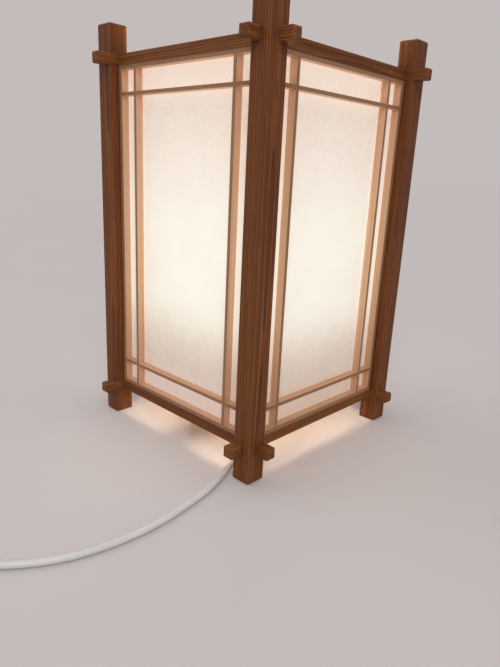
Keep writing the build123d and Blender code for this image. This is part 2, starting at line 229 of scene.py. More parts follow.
def makeCamera(spec):
    turn, pitch, roll = (math.radians(spec[name]) for name in ("turn", "pitch", "roll"))
    ahead = Vector((-math.sin(turn) * math.cos(pitch), math.cos(turn) * math.cos(pitch), math.sin(pitch)))
    level = Vector((math.cos(turn), math.sin(turn), 0))
    upright = level.cross(ahead)
    across = math.cos(roll) * level + math.sin(roll) * upright
    upwards = -math.sin(roll) * level + math.cos(roll) * upright
    data = bpy.data.cameras.new("roomCamera")
    data.sensor_fit = "VERTICAL"
    data.sensor_height = spec["sensor"]
    data.lens = spec["lens"]
    data.clip_start, data.clip_end = spec["clip"]
    camera = linkObject("roomCamera", data)
    axes = Matrix((across, upwards, -ahead)).transposed().to_4x4()
    camera.matrix_world = Matrix.Translation(spec["place"]) @ axes
    bpy.context.scene.camera = camera


makeCamera(cameraSet)
print("camera set")


# mains lead: two free lengths, with the switch between them and the plug on the end

leadSet = {
    "diameter": 0.007,
    "toSwitch": [  # the routes are in mm
        (46, 0, 58), (66, 0, 58), (84, -7, 55), (99, -23, 47), (105, -48, 36), (103, -78, 24),
        (101, -108, 13), (105.7, -137.6, 6), (121.6, -178.6, 3.5), (129.9, -220.3, 3.5),
        (135.8, -263.5, 3.5), (132.5, -312.2, 3.5), (120.1, -357.4, 3.5), (90.8, -400.5, 3.5),
        (74, -418, 9.5), (58, -430, 9.5),
    ],
    "toCoil": [(-14, -484, 9.5), (-28, -494.5, 9.5), (-48, -503, 5), (-68, -505.2, 3.5)],
    "coilCentre": (-88, -457.1),
    "outerTurn": 48.1,
    "turnPitch": 7.1,
    "turnsALayer": 2,
    "turnsInAll": 4.25,  # with the quarter turn that climbs to the top layer
    "pointsATurn": 14,
    "layerLevels": (3.5, 10.6),
    "tail": [(-136.1, -446, 10.6), (-133.4, -434, 10.2), (-130, -424, 9.5), (-129, -415.1, 9.5)],
    "toSwitchLength": 0.506,
    "toPlugLength": 1.18,
    "order": 3,
    "stepsASpan": 8,
    "stepsAround": 5,  # in each quarter of the lead's section
}


def coilPoints(spec):
    # inwards on the floor, up at the inner turn, and outwards on top
    points = []
    low, high = spec["layerLevels"]
    steps = spec["pointsATurn"] * spec["turnsALayer"]
    rise = spec["pointsATurn"] // 4
    inner = spec["outerTurn"] - spec["turnPitch"] * spec["turnsALayer"]
    x, y = spec["coilCentre"]
    start = -math.pi / 2
    total = 2 * steps + rise
    for index in range(total + 1):
        angle = start - index * (spec["turnsInAll"] * 2 * math.pi / total)
        if index <= steps:
            radius = spec["outerTurn"] - spec["turnPitch"] * spec["turnsALayer"] * index / steps
            level = low
        elif index <= steps + rise:
            radius = inner
            level = low + (high - low) * (index - steps) / rise
        else:
            radius = inner + spec["turnPitch"] * spec["turnsALayer"] * (index - steps - rise) / steps
            level = high
        points.append((x + radius * math.cos(angle), y + radius * math.sin(angle), level))
    return points


def leadCurve(name, points, spec):
    curve = bpy.data.curves.new(name, "CURVE")
    curve.dimensions = "3D"
    spline = curve.splines.new("NURBS")
    spline.points.add(len(points) - 1)
    for slot, point in zip(spline.points, points):
        slot.co = (*inMetres(point), 1)
        slot.radius = spec["diameter"] / 2  # with a bevel of 1 m, so that the curve's box is its own size
    spline.order_u = spec["order"]
    spline.use_endpoint_u = True
    spline.resolution_u = spec["stepsASpan"]
    curve.bevel_depth = 1.0
    curve.bevel_resolution = spec["stepsAround"]
    curve.use_fill_caps = True
    return linkObject(name, curve)


def makeLead(spec):
    first = leadCurve("leadToSwitch", spec["toSwitch"], spec)
    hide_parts("cord_to_switch")
    second = leadCurve("leadToPlug", spec["toCoil"] + coilPoints(spec) + spec["tail"], spec)
    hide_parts("cord_to_plug", "cord_coil")
    for lead in (first, second):
        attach(lead, "lantern")
    return first, second


leads = makeLead(leadSet)
print("lead laid")


# wood: grain that runs along each stick, and rubbed edges

grainSet = {
    # scales across, across and along the stick
    "drift": (30, 30, 5),
    "streak": (330, 330, 6),
    "fibre": (1900, 1900, 34),
    "ringPower": 2.2,  # how sharply each ring's dark side ends
    "ringBump": 0.35,
    "fibreBump": 0.65,
    "fibreRange": (0.3, 0.7),
    "toneStops": (0.1, 0.5, 0.9),
    "rubPatches": (90, 90, 40),
    "rubRange": (0.35, 0.65),
}


def buildStickGrain(spec):
    tree, given, out = newGroup(
        "stickGrain",
        [("Vector", None), ("Pith X", 0.03), ("Pith Y", 0.02), ("Ring Width", 0.0016), ("Wander", 0.002)],
        ("Ring", "Streak", "Fibre", "Height"),
    )
    point = given["Vector"]
    drift = noise(tree, scaled(tree, point, spec["drift"]))
    split = addNode(tree, "ShaderNodeSeparateXYZ", i0=point).outputs
    across = math2(tree, "SUBTRACT", split[0], given["Pith X"])
    deep = math2(tree, "SUBTRACT", split[1], given["Pith Y"])
    flat = math2(tree, "ADD", math2(tree, "MULTIPLY", across, across), math2(tree, "MULTIPLY", deep, deep))
    reach = math2(tree, "SQRT", flat)
    reach = math2(tree, "ADD", reach, math2(tree, "MULTIPLY", drift, given["Wander"]))
    turn = math2(tree, "FRACT", math2(tree, "DIVIDE", reach, given["Ring Width"]))
    ring = math2(tree, "POWER", turn, spec["ringPower"])
    streak = noise(tree, scaled(tree, point, spec["streak"]), detail=3.0, roughness=0.6)
    fibre = noise(tree, scaled(tree, point, spec["fibre"]), roughness=0.6)
    for name, value in (("Ring", ring), ("Streak", streak), ("Fibre", fibre)):
        tree.links.new(value, out[name])
    ringHeight = math2(tree, "MULTIPLY", ring, spec["ringBump"])
    height = math2(tree, "ADD", ringHeight, math2(tree, "MULTIPLY", fibre, spec["fibreBump"]))
    tree.links.new(height, out["Height"])
    return tree


def buildEdgeRub(spec):
    tree, given, out = newGroup(
        "edgeRub",
        [("Vector", None), ("Half X", 0.01), ("Half Y", 0.01), ("Half Z", 0.1), ("Reach", 0.0015)],
        ("Mask",),
    )
    split = addNode(tree, "ShaderNodeSeparateXYZ", i0=given["Vector"]).outputs
    gaps = [
        math2(tree, "SUBTRACT", given[f"Half {axis}"], math2(tree, "ABSOLUTE", split[index]))
        for index, axis in enumerate("XYZ")
    ]
    pairs = [math2(tree, "MAXIMUM", gaps[one], gaps[two]) for one, two in ((0, 1), (1, 2), (0, 2))]
    nearest = math2(tree, "MINIMUM", math2(tree, "MINIMUM", pairs[0], pairs[1]), pairs[2])
    rub = smoothRange(tree, nearest, 0.0, given["Reach"], 1.0, 0.0)
    patches = noise(tree, scaled(tree, given["Vector"], spec["rubPatches"]), detail=3.0, roughness=0.7)
    patchy = smoothRange(tree, patches, *spec["rubRange"])
    tree.links.new(math2(tree, "MULTIPLY", rub, patchy), out["Mask"])
    return tree


stickGrain = buildStickGrain(grainSet)
edgeRub = buildEdgeRub(grainSet)

frameWoodSet = {
    "dark": (0.052, 0.015, 0.005),
    "middle": (0.160, 0.050, 0.013),
    "light": (0.30, 0.108, 0.027),
    "rubbed": (0.31, 0.125, 0.036),
    "rub": 0.3,
    "front": None,
    "ringShare": 0.34,
    "streakShare": 0.85,
    "fibreShare": 0.5,
    "roughness": (0.5, 0.68),
    "gloss": 0.18,
    "ringWidth": 0.0024,
    "wander": 0.0045,
    "bump": 0.00012,
}
latticeWoodSet = {
    "dark": (0.43, 0.245, 0.140),
    "middle": (0.53, 0.315, 0.190),
    "light": (0.62, 0.385, 0.245),
    "rubbed": (0.61, 0.41, 0.27),
    "rub": 0.35,
    "front": (0.56, 0.49, 0.44),  # painted shade: the front faces are darkened to these shares of the sides' colour, as if unlit
    "shadedFrontFrom": 0.1290,
    "shadedFrontTo": 0.1297,
    "ringShare": 0.3,
    "streakShare": 0.7,
    "fibreShare": 0.45,
    "roughness": (0.55, 0.72),
    "gloss": 0.3,
    "ringWidth": 0.0013,
    "wander": 0.002,
    "bump": 0.00006,
}
cutSet = {
    # each stick is cut from another place in its tree, and is a little lighter or darker
    "turn": 2.399963,  # radians from one stick's pith to the next, the golden angle
    "pithReach": (0.022, 0.011, 1.7),  # middle, swing and step
    "tone": (0.58, 0.06, 4.1),
}


def swung(settings, order):
    middle, swing, step = settings
    return middle + swing * math.sin(order * step)


def stickPlace(node):
    low, high = (Vector(corner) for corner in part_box(node))
    size = high - low
    along = max(range(3), key=lambda index: size[index])
    if "crossbars" in node:  # two level strips, whose box is taller than it is wide
        along = 0 if size[0] > size[1] else 1
    turn = {0: (0, -math.pi / 2, 0), 1: (math.pi / 2, 0, 0), 2: (0, 0, 0)}[along]
    half = {0: (size[2], size[1], size[0]), 1: (size[0], size[2], size[1]), 2: tuple(size)}[along]
    return (low + high) / 2, turn, [value / 2 for value in half]


def woodMaterial(node, spec, order, rubbed=True):
    centre, turn, half = stickPlace(node)
    plain = {"Base Color": (*spec["middle"], 1), "Specular IOR Level": spec["gloss"]}
    material, tree, shader = newMaterial(node + "Wood", plain)
    place = addNode(tree, "ShaderNodeMapping", i0=objectPoint(tree))
    spin = Matrix.Rotation(turn[0], 3, "X") @ Matrix.Rotation(turn[1], 3, "Y")
    place.inputs["Rotation"].default_value = turn
    place.inputs["Location"].default_value = -(spin @ centre)
    point = place.outputs[0]
    angle = order * cutSet["turn"]
    away = swung(cutSet["pithReach"], order)
    grain = placeGroup(
        tree, stickGrain, Vector=point, Pith_X=away * math.cos(angle), Pith_Y=away * math.sin(angle),
        Ring_Width=spec["ringWidth"], Wander=spec["wander"],
    )
    tone = math2(tree, "MULTIPLY_ADD", grain["Ring"], -spec["ringShare"], swung(cutSet["tone"], order))
    for name in ("Streak", "Fibre"):
        share = spec[name.lower() + "Share"]
        tone = math2(tree, "MULTIPLY_ADD", grain[name], share, math2(tree, "SUBTRACT", tone, share / 2))
    dark, middle, light = grainSet["toneStops"]
    colour = ramp(tree, tone, (dark, spec["dark"]), (light, spec["light"]), (middle, spec["middle"]))
    if rubbed:
        rub = placeGroup(tree, edgeRub, Vector=point, Half_X=half[0], Half_Y=half[1], Half_Z=half[2])
        colour = mixed(tree, math2(tree, "MULTIPLY", rub["Mask"], spec["rub"]), colour, spec["rubbed"])
    # painted shade: the front faces are darkened, as if light fell only on the sides
    if spec["front"]:
        paintedFrontShade = smoothRange(tree, depthOut(tree, objectPoint(tree)), spec["shadedFrontFrom"], spec["shadedFrontTo"])
        colour = mixed(tree, paintedFrontShade, colour, spec["front"], "MULTIPLY")
    tree.links.new(colour, shader.inputs["Base Color"])
    rough = smoothRange(tree, grain["Fibre"], *grainSet["fibreRange"], *spec["roughness"])
    tree.links.new(rough, shader.inputs["Roughness"])
    addBump(tree, shader, grain["Height"], spec["bump"])
    return material


def dressWood():
    corners = ("front_right", "back_right", "back_left", "front_left")
    frameNodes = [f"post_{corner}" for corner in corners]
    frameNodes += [f"rail_{level}_{side}" for level in ("bottom", "top") for side in sides]
    frameNodes += ["cross_bar", "riser_block"]
    for order, node in enumerate(frameNodes):
        setMaterial(bpy.data.objects[node], woodMaterial(node, frameWoodSet, order))
    parts = panelFrame + ("kumiko_uprights", "kumiko_crossbars")
    panelNodes = [f"{side}_panel_{part}" for side in sides for part in parts]
    for order, node in enumerate(panelNodes, 1):
        rubbed = "kumiko" not in node  # two strips share a node, so its box has no edges to rub
        setMaterial(bpy.data.objects[node], woodMaterial(node, latticeWoodSet, order, rubbed))


dressWood()
print("wood dressed")


# paper: one taut sheet behind each panel, with the light from inside painted on as a glow

paperSet = {
    "half": 0.1165,  # from the middle of a side to the sheet's edge
    "bottom": 0.047,
    "top": 0.453,
    "face": 0.11978,  # from the lantern's middle to the sheet's outer face, at its glued edges
    "rest": 0.0001,
    "thickness": 0.0002,
    "slack": 0.00006,
    # the slack's waves, in radians over the sheet
    "longWave": (7.1, 1.3, 2.2),  # across, from one side to the next, and up
    "crossWave": (5.3, 0.7),  # up, and from one side to the next
    "shortWave": (17, 11, 0.5),  # across, up, and its share
    "hold": 9,  # the slack is whole from a ninth of the sheet in from its glued edges
    "outerFace": (0.11957, 0.11959),
    "columns": 44,
    "rows": 76,
    "cut": (0.233, 0.406),
    "glowPlaces": {"front": 0.022, "right": -0.014, "back": 0.0, "left": 0.0},
    "glowLevel": 0.238,
    "base": (0.74, 0.65, 0.57),
    "baseShade": (0.72, 0.62, 0.54),
    "sheen": {"Roughness": 0.85, "Specular IOR Level": 0.2},
    "fibreTone": 0.35,
    "dim": (0.03, 0.0, 0.0),
    "halfLit": (0.22, 0.19, 0.15),
    "bright": (0.43, 0.46, 0.40),
    "clouds": (0.07, 0.035, 0.02),  # how far the mottling lifts the glow, its middle, and the fibres' shade
    # what is added to the painted glow at the foot, the head, the upper half and beside the strips
    "foot": dict.fromkeys(sides, (0.14, 0.115, 0.105)) | {"right": (0.092, 0.068, 0.036)},
    "head": (0.091, 0.075, 0.068),
    "upper": (-0.01, -0.052, -0.042),
    "strips": (0.19, 0.165, 0.145),
    "stripShare": {"front": 1.0, "right": 1.0, "back": 0.35, "left": 0.8},
    "thrownLight": 2.4,  # the paper lights what is near it this much more strongly than it shows
    "bump": 0.00005,
}
glowSet = {
    # heights between which each part of the glow comes in or goes out
    "collar": (0.055, 0.190),  # the bulb's opaque collar shades the foot of the paper
    "foot": (0.062, 0.112),
    "head": (0.392, 0.428),
    "upper": (0.27, 0.39),
    "upperEnd": (0.40, 0.43, 0.0, 0.5),
    # where the strips and stiles are, and how far the painted glow beside them reaches
    "stripUndersides": (0.076, 0.420, 0.4495),
    "underReach": 0.019,
    "underShare": 0.9,
    "uprightAt": 0.085,
    "uprightHalf": 0.002,
    "stileAt": 0.1125,
    "besideReach": 0.009,
    "besideShare": 0.4,
}
washiSet = {
    "cloudScale": (45, 45, 45),
    "pulpScale": (330, 330, 330),
    "pulpShare": 0.7,
    "cloudShare": 0.3,
    "mottleRange": (0.36, 0.64),
    "bendScale": 38.0,
    "bendReach": (0.05, 0.05, 0.05),
    "strands": (  # scales and offset of each run of fibres
        ((300, 300, 120), (3, 1, 7)), ((130, 130, 330), (11, 5, 2)), ((210, 210, 190), (5, 9, 4)),
    ),
    "strandWidth": 0.02,
    "fineScale": (900, 900, 900),
    "fibreBump": 0.5,
}


def buildWashi(spec):
    tree, given, out = newGroup("washiFibre", [("Vector", None)], ("Mottle", "Fibre", "Height"))
    point = given["Vector"]
    cloud = noise(tree, scaled(tree, point, spec["cloudScale"]))
    pulp = noise(tree, scaled(tree, point, spec["pulpScale"]), detail=3.0, roughness=0.65, offset=(7, 2, 9))
    bend = addNode(tree, "ShaderNodeTexNoise", Vector=point, Scale=spec["bendScale"], Detail=2.0)
    bend = vector2(tree, "SUBTRACT", bend.outputs["Color"], (0.5, 0.5, 0.5))
    bend = scaled(tree, bend, spec["bendReach"])
    warped = vector2(tree, "ADD", point, bend)
    strands = []
    for factors, offset in spec["strands"]:
        field = noise(tree, scaled(tree, warped, factors), detail=1.0, offset=offset)
        off = math2(tree, "ABSOLUTE", math2(tree, "SUBTRACT", field, 0.5))
        strands.append(smoothRange(tree, off, 0.0, spec["strandWidth"], 1.0, 0.0))
    fibre = math2(tree, "MAXIMUM", math2(tree, "MAXIMUM", strands[0], strands[1]), strands[2])
    cloudy = math2(tree, "MULTIPLY", cloud, spec["cloudShare"])
    mottle = math2(tree, "MULTIPLY_ADD", pulp, spec["pulpShare"], cloudy)
    tree.links.new(smoothRange(tree, mottle, *spec["mottleRange"]), out["Mottle"])
    tree.links.new(fibre, out["Fibre"])
    fine = noise(tree, scaled(tree, point, spec["fineScale"]))
    height = math2(tree, "ADD", math2(tree, "MULTIPLY", fibre, spec["fibreBump"]), fine)
    tree.links.new(height, out["Height"])
    return tree


# painted light: the paper's glow, with the collar's painted shade and the painted lift beside the strips
def buildPaperGlow(spec):
    tree, given, out = newGroup(
        "paperGlow",
        [("Vector", None), ("Centre X", 0.0), ("Centre Y", 0.0), ("Centre Z", 0.24), ("Spread", 0.275)],
        ("Glow", "Foot", "Head", "Upper", "Strips"),
    )
    split = addNode(tree, "ShaderNodeSeparateXYZ", i0=given["Vector"]).outputs
    total = None
    for index, axis in enumerate("XYZ"):
        part = math2(tree, "SUBTRACT", split[index], given[f"Centre {axis}"])
        part = math2(tree, "DIVIDE", part, given["Spread"])
        part = math2(tree, "MULTIPLY", part, part)
        total = part if total is None else math2(tree, "ADD", total, part)
    fall = math2(tree, "DIVIDE", 1.0, math2(tree, "ADD", total, 1.0))
    tree.links.new(math2(tree, "MULTIPLY", fall, smoothRange(tree, split[2], *spec["collar"])), out["Glow"])
    tree.links.new(smoothRange(tree, split[2], *spec["foot"], 1.0, 0.0), out["Foot"])
    tree.links.new(smoothRange(tree, split[2], *spec["head"]), out["Head"])
    upper = smoothRange(tree, split[2], *spec["upper"])
    upper = math2(tree, "SUBTRACT", upper, smoothRange(tree, split[2], *spec["upperEnd"]))
    tree.links.new(upper, out["Upper"])
    under = None
    for level in spec["stripUndersides"]:
        drop = math2(tree, "SUBTRACT", level, split[2])
        near = smoothRange(tree, drop, 0.0, spec["underReach"], spec["underShare"], 0.0)
        near = math2(tree, "MULTIPLY", near, math2(tree, "GREATER_THAN", drop, 0.0))
        under = near if under is None else math2(tree, "ADD", under, near)
    across = math2(tree, "MINIMUM", math2(tree, "ABSOLUTE", split[0]), math2(tree, "ABSOLUTE", split[1]))
    upright = math2(tree, "ABSOLUTE", math2(tree, "SUBTRACT", across, spec["uprightAt"]))
    upright = math2(tree, "SUBTRACT", upright, spec["uprightHalf"])
    beside = math2(tree, "MINIMUM", upright, math2(tree, "SUBTRACT", spec["stileAt"], across))
    edge = smoothRange(tree, beside, 0.0, spec["besideReach"], spec["besideShare"], 0.0)
    tree.links.new(math2(tree, "MAXIMUM", under, edge), out["Strips"])
    return tree


washiFibre = buildWashi(washiSet)
paperGlow = buildPaperGlow(glowSet)


def paperMaterial(side, spec):
    turn = Matrix.Rotation(sides.index(side) * math.pi / 2, 3, "Z")
    spot = turn @ Vector((spec["glowPlaces"][side], -spec["face"], spec["glowLevel"]))
    plain = {"Base Color": (*spec["base"], 1), "Emission Strength": 1.0, **spec["sheen"]}
    material, tree, shader = newMaterial(side + "Washi", plain)
    point = objectPoint(tree)
    washi = placeGroup(tree, washiFibre, Vector=point)
    light = placeGroup(tree, paperGlow, Vector=point, Centre_X=spot.x, Centre_Y=spot.y, Centre_Z=spot.z)
    tone = math2(tree, "ADD", washi["Mottle"], math2(tree, "MULTIPLY", washi["Fibre"], spec["fibreTone"]))
    base = ramp(tree, tone, (0.0, spec["baseShade"]), (1.0, spec["base"]))
    tree.links.new(base, shader.inputs["Base Color"])
    lift, middle, fibreShade = spec["clouds"]
    cloudy = math2(tree, "SUBTRACT", math2(tree, "MULTIPLY", washi["Mottle"], lift), middle)
    cloudy = math2(tree, "SUBTRACT", cloudy, math2(tree, "MULTIPLY", washi["Fibre"], fibreShade))
    glow = math2(tree, "ADD", light["Glow"], cloudy)
    lit = ramp(tree, glow, (0.0, spec["dim"]), (1.0, spec["bright"]), (0.5, spec["halfLit"]))
    strips = math2(tree, "MULTIPLY", light["Strips"], spec["stripShare"][side])
    shifts = (
        (light["Foot"], spec["foot"][side]), (light["Head"], spec["head"]),
        (light["Upper"], spec["upper"]), (strips, spec["strips"]),
    )
    for mask, shift in shifts:
        lit = vector2(tree, "ADD", lit, dimmed(tree, shift, mask))
    seen = tree.nodes.new("ShaderNodeLightPath").outputs["Is Camera Ray"]
    thrown = math2(tree, "MULTIPLY_ADD", seen, 1.0 - spec["thrownLight"], spec["thrownLight"])
    # only the outer face shows the painted glow, which stands for the light that comes through
    strength = math2(tree, "MULTIPLY", smoothRange(tree, depthOut(tree, point), *spec["outerFace"]), thrown)
    lit = vector2(tree, "MAXIMUM", dimmed(tree, lit, strength), (0, 0, 0))
    tree.links.new(lit, shader.inputs["Emission Color"])
    addBump(tree, shader, washi["Height"], spec["bump"])
    return material


def makePaper(side, spec):
    # a closed sheet whose slack is a fraction of a millimetre, and which is flat along its glued edges
    columns, rows = spec["columns"], spec["rows"]
    order = sides.index(side)
    turn = Matrix.Rotation(order * math.pi / 2, 3, "Z")
    verts, faces = [], []
    across, between, upward = spec["longWave"]
    crossUp, crossBetween = spec["crossWave"]
    shortAcross, shortUp, shortShare = spec["shortWave"]
    for layer in (0, 1):
        for row in range(rows + 1):
            v = row / rows
            for column in range(columns + 1):
                u = column / columns
                hold = min(1.0, spec["hold"] * min(u, 1 - u, v, 1 - v))
                wave = math.sin(across * u + between * order + upward * v)
                wave *= math.cos(crossUp * v + crossBetween * order)
                wave += shortShare * math.sin(shortAcross * u + shortUp * v + order)
                x = (2 * u - 1) * spec["half"]
                y = -spec["face"] + hold * (spec["rest"] + spec["slack"] * wave) + layer * spec["thickness"]
                z = spec["bottom"] + (spec["top"] - spec["bottom"]) * v
                verts.append(turn @ Vector((x, y, z)))
    stride = columns + 1
    skip = stride * (rows + 1)
    for row in range(rows):
        for column in range(columns):
            here = row * stride + column
            faces.append((here, here + 1, here + 1 + stride, here + stride))
            inner = here + skip
            faces.append((inner, inner + stride, inner + stride + 1, inner + 1))
    rim = list(range(columns + 1))
    rim += [row * stride + columns for row in range(1, rows + 1)]
    rim += [rows * stride + column for column in range(columns - 1, -1, -1)]
    rim += [row * stride for row in range(rows - 1, 0, -1)]
    for here, following in zip(rim, rim[1:] + rim[:1]):
        faces.append((following, here, here + skip, following + skip))
    paper = meshObject(side + "Paper", verts, faces)
    setMaterial(paper, paperMaterial(side, spec))
    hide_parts(side + "_panel_paper")
    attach(paper, "lantern")


for side in sides:
    makePaper(side, paperSet)
print("paper glued")


# plastics and metals

mouldedSet = {
    "shadeScale": (45, 45, 45),
    "shadeShare": 0.7,
    "speckleShare": 0.3,
    "range": (0.3, 0.7),
}


def buildMoulded(spec):
    tree, given, out = newGroup("mouldedGrain", [("Vector", None), ("Size", 0.0006)], ("Speckle", "Shade"))
    grown = dimmed(tree, given["Vector"], math2(tree, "DIVIDE", 1.0, given["Size"]))
    tree.links.new(noise(tree, grown, roughness=0.6), out["Speckle"])
    shade = noise(tree, scaled(tree, given["Vector"], spec["shadeScale"]), detail=3.0, roughness=0.6)
    tree.links.new(shade, out["Shade"])
    return tree


mouldedGrain = buildMoulded(mouldedSet)


def mouldedMaterial(name, dark, light, roughness, size, bump, **plain):
    # size is that of the surface's speckle, and bump is how high it stands
    spec = mouldedSet
    low, high = spec["range"]
    material, tree, shader = newMaterial(name, {"Base Color": (*light, 1), **plain})
    grain = placeGroup(tree, mouldedGrain, Vector=objectPoint(tree), Size=size)
    shade = math2(tree, "MULTIPLY", grain["Shade"], spec["shadeShare"])
    tone = math2(tree, "ADD", shade, math2(tree, "MULTIPLY", grain["Speckle"], spec["speckleShare"]))
    tree.links.new(ramp(tree, tone, (low, dark), (high, light)), shader.inputs["Base Color"])
    tree.links.new(smoothRange(tree, grain["Shade"], low, high, *roughness), shader.inputs["Roughness"])
    addBump(tree, shader, grain["Speckle"], bump)
    return material


def addSeamShade(material, spec):
    # painted shade: the fine dark line where two shells meet, standing for the shadow in the gap between them
    tree = material.node_tree
    socket = tree.nodes["Principled BSDF"].inputs["Base Color"]
    colour = socket.links[0].from_socket
    level = addNode(tree, "ShaderNodeSeparateXYZ", i0=objectPoint(tree)).outputs[2]
    away = math2(tree, "ABSOLUTE", math2(tree, "SUBTRACT", level, spec["level"]))
    line = smoothRange(tree, away, spec["core"], spec["edge"], 1.0, 0.0)
    tree.links.new(mixed(tree, line, colour, spec["shade"]), socket)


# name, darker and lighter colour, roughness, and the size and height of the speckle
finishSet = {
    "lead": ("leadPvc", (0.60, 0.585, 0.58), (0.67, 0.655, 0.65), (0.32, 0.45), 0.0009, 0.00001),
    "switch": ("switchShell", (0.70, 0.69, 0.68), (0.77, 0.76, 0.75), (0.4, 0.5), 0.0005, 0.00004),
    "rocker": ("rockerShell", (0.81, 0.80, 0.79), (0.87, 0.86, 0.85), (0.25, 0.35), 0.0012, 0.00001),
    "plug": ("plugPvc", (0.60, 0.585, 0.58), (0.67, 0.655, 0.65), (0.4, 0.52), 0.0006, 0.00003),
    "holder": ("holderPhenolic", (0.80, 0.78, 0.72), (0.88, 0.86, 0.81), (0.3, 0.42), 0.0008, 0.00001),
    "housing": ("bulbShell", (0.86, 0.86, 0.84), (0.93, 0.93, 0.91), (0.28, 0.38), 0.001, 0.00001),
    "brass": ("brassStrip", (0.70, 0.50, 0.22), (0.84, 0.66, 0.34), (0.22, 0.38), 0.0004, 0.00001),
    "nickel": ("nickelCap", (0.68, 0.67, 0.63), (0.80, 0.79, 0.76), (0.18, 0.32), 0.0005, 0.00001),
    "zinc": ("zincScrew", (0.52, 0.51, 0.48), (0.66, 0.65, 0.62), (0.28, 0.42), 0.0004, 0.00001),
    "dome": ("bulbDome", (0.90, 0.89, 0.86), (0.95, 0.94, 0.91), (0.4, 0.5), 0.001, 0.00001),
}
metal = {"Metallic": 1.0}
finishExtras = {
    "brass": metal, "nickel": metal, "zinc": metal,
    "dome": {"Emission Color": (1.0, 0.90, 0.72, 1), "Emission Strength": 105.0},
}
finishes = {
    label: mouldedMaterial(*settings, **finishExtras.get(label, {})) for label, settings in finishSet.items()
}
# painted shade along the switch's parting line
seamShadeSet = {"level": 0.0095, "core": 0.00010, "edge": 0.00022, "shade": (0.20, 0.195, 0.19)}
addSeamShade(finishes["switch"], seamShadeSet)
dressed = {
    "switch_lower_shell": "switch", "switch_upper_shell": "switch", "switch_rocker": "rocker",
    "plug_body": "plug", "plug_blades": "brass", "cord_strain_relief": "lead",
    "lamp_holder_base": "holder", "lamp_holder_shell": "holder", "lamp_holder_sleeve": "brass",
    "lamp_holder_contact": "brass", "bulb_housing": "housing", "bulb_diffuser": "dome",
}
for node, finish in dressed.items():
    setMaterial(bpy.data.objects[node], finishes[finish])
for lead in leads:
    setMaterial(lead, finishes["lead"])
print("plastics and metals dressed")


# screws: one turned blank for each kind, set out in rows by a node tree

screwSet = {
    "bar": {
        "turned": [(2.8, 0), (1.4, -1.4), (1.4, -8.0), (0.25, -11.0)],
        "crossArm": 1.5, "crossHalf": 0.32, "crossDepth": 1.0, "threadFrom": -2.4, "threadPitch": 1.1,
        "columns": 2, "columnGap": 22.0, "rowGap": 242.0, "level": 46.0, "seed": 3,
        "replaces": "cross_bar_screws",
    },
    "holder": {
        "turned": [(1.17, 0.98), (1.75, 0.80), (1.95, 0.45), (1.95, 0), (1.2, 0), (1.2, -11.5), (0.2, -14.0)],
        "crossArm": 0.95, "crossHalf": 0.24, "crossDepth": 0.55, "threadFrom": -2.0, "threadPitch": 1.0,
        "columns": 1, "columnGap": 0.0, "rowGap": 39.0, "level": 99.0, "seed": 8,
        "replaces": "lamp_holder_screws",
    },
    "sides": 28,
    "threadDepth": 0.28,
    "ringsAPitch": 6,
    "armLimit": 0.86,  # a recess's arm stays within this share of the head's flat top
    "floorShares": (0.72, 0.8),  # the recess narrows to these shares at its floor
    "turnRange": 3.1,  # radians that the heads may be turned by
}


def addSocket(tree, name, kind, value=None):
    socket = tree.interface.new_socket(name, in_out="INPUT", socket_type=kind)
    if value is not None:
        socket.default_value = value


def setInput(modifier, name, value):
    for item in modifier.node_group.interface.items_tree:
        if item.item_type == "SOCKET" and item.in_out == "INPUT" and item.name == name:
            modifier[item.identifier] = value


def applyTree(obj, group, **values):
    # runs a node tree on a mesh and keeps its result as the plain mesh
    modifier = obj.modifiers.new(group.name, "NODES")
    modifier.node_group = group
    for name, value in values.items():
        setInput(modifier, name.replace("_", " "), value)
    bpy.context.view_layer.update()
    seen = obj.evaluated_get(bpy.context.evaluated_depsgraph_get())
    result = bpy.data.meshes.new_from_object(seen)
    obj.modifiers.remove(modifier)
    obj.data = result


def geometryGroup(name, inputs):
    tree = bpy.data.node_groups.new(name, "GeometryNodeTree")
    tree.interface.new_socket("Geometry", in_out="OUTPUT", socket_type="NodeSocketGeometry")
    addSocket(tree, "Geometry", "NodeSocketGeometry")
    for label, kind, value in inputs:
        addSocket(tree, label, kind, value)
    return tree, tree.nodes.new("NodeGroupInput").outputs, tree.nodes.new("NodeGroupOutput").inputs


